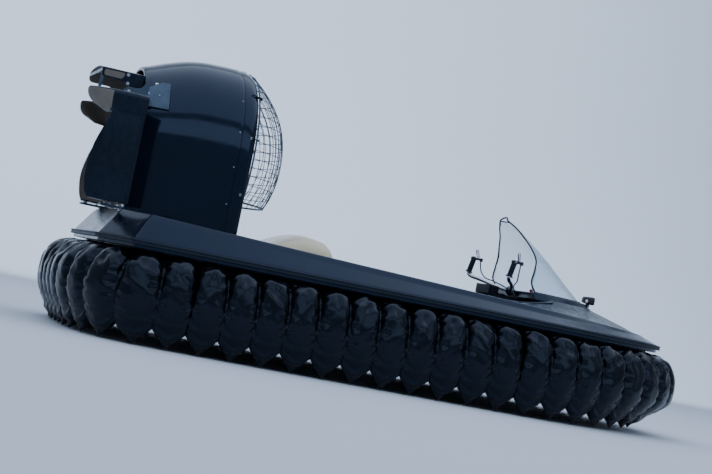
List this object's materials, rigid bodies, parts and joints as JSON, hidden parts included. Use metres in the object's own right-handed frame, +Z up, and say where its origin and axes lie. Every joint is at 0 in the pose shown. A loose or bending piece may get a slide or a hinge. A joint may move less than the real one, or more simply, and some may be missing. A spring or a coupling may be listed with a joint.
{
  "type": "light hovercraft",
  "caption": "Light recreational hovercraft with a rear ducted fan, reversing buckets, a segmented finger skirt and handlebar steering.",
  "frame": {"origin": "on the floor under the middle of the overall box, at the tips of the inflated skirt", "axes": "+X towards the bow, +Y to port, +Z up"},
  "size_m": [4.0181, 2.0718, 1.6493],
  "materials": {
    "gelcoat": "glossy navy-black gelcoat over glass fibre",
    "duct_gelcoat": "glossy black gelcoat over glass fibre",
    "rail_rubber": "matt black rubber",
    "skirt_fabric": "coated black nylon with a sheen",
    "cream_plastic": "satin cream moulding",
    "seat_vinyl": "black grained vinyl",
    "steel": "zinc plated steel",
    "chrome": "polished tube",
    "black_plastic": "black moulded plastic",
    "bucket_plastic": "black moulded composite with a soft sheen",
    "clear_screen": "clear bent acrylic"
  },
  "bodies": {
    "craft": {"hull": "gelcoat", "deck": "gelcoat", "rub_rail": "rail_rubber", "cockpit_liner": "gelcoat", "skirt_bow": "skirt_fabric", "skirt_port": "skirt_fabric", "skirt_stern": "skirt_fabric", "skirt_starboard": "skirt_fabric", "skid_port": "rail_rubber", "skid_starboard": "rail_rubber", "engine": "steel", "engine_cover": "cream_plastic", "belt_cover": "black_plastic", "seat_base": "gelcoat", "seat_cushion": "seat_vinyl", "fan_duct": "duct_gelcoat", "inlet_ring": "duct_gelcoat", "fan_guard": "steel", "fan_carrier": "black_plastic", "lift_splitter": "duct_gelcoat", "shoulder_bracket_port": "steel", "shoulder_bracket_starboard": "steel", "lower_bracket_port": "steel", "lower_bracket_starboard": "steel", "outlet_vane": "bucket_plastic", "console_pod": "gelcoat", "cowl": "gelcoat", "windshield": "clear_screen", "windshield_trim": "rail_rubber", "steering_column": "black_plastic", "bow_light": "black_plastic"},
    "thrust_fan": {"fan": "black_plastic", "fan_shaft": "steel"},
    "steering_bar": {"handlebar": "chrome", "grip_port": "rail_rubber", "grip_starboard": "rail_rubber", "control_head_port": "black_plastic", "control_head_starboard": "black_plastic", "control_cable_port": "rail_rubber", "control_cable_starboard": "rail_rubber"},
    "port_rudder": {"rudder_port": "duct_gelcoat"},
    "starboard_rudder": {"rudder_starboard": "duct_gelcoat"},
    "port_bucket": {"bucket_port": "bucket_plastic"},
    "starboard_bucket": {"bucket_starboard": "bucket_plastic"}
  },
  "joints": [
    {"name": "fan_spin", "type": "hinge", "parent": "craft", "child": "thrust_fan", "pos_m": [-1.2302, 0, 1.125], "axis": [1, 0, 0], "continuous": true},
    {"name": "steering", "type": "hinge", "parent": "craft", "child": "steering_bar", "pos_m": [0.8748, 0, 0.69], "axis": [-0.6997, 0, 0.7145], "range_deg": [-18, 18]},
    {"name": "rudder_port_turn", "type": "hinge", "parent": "craft", "child": "port_rudder", "pos_m": [-1.5552, 0.13, 1.15], "axis": [0, 0, 1], "range_deg": [-30, 30]},
    {"name": "rudder_starboard_turn", "type": "hinge", "parent": "craft", "child": "starboard_rudder", "pos_m": [-1.5552, -0.13, 1.15], "axis": [0, 0, 1], "range_deg": [-30, 30]},
    {"name": "bucket_port_swing", "type": "hinge", "parent": "craft", "child": "port_bucket", "pos_m": [-1.7752, 0.37, 1.02], "axis": [0, 0, 1], "range_deg": [0, 132.5]},
    {"name": "bucket_starboard_swing", "type": "hinge", "parent": "craft", "child": "starboard_bucket", "pos_m": [-1.7752, -0.37, 1.02], "axis": [0, 0, -1], "range_deg": [-37.5, 95]}
  ],
  "couplings": [
    {"joint": "rudder_port_turn", "follows": "steering", "ratio": -1.6},
    {"joint": "rudder_starboard_turn", "follows": "steering", "ratio": -1.6}
  ]
}
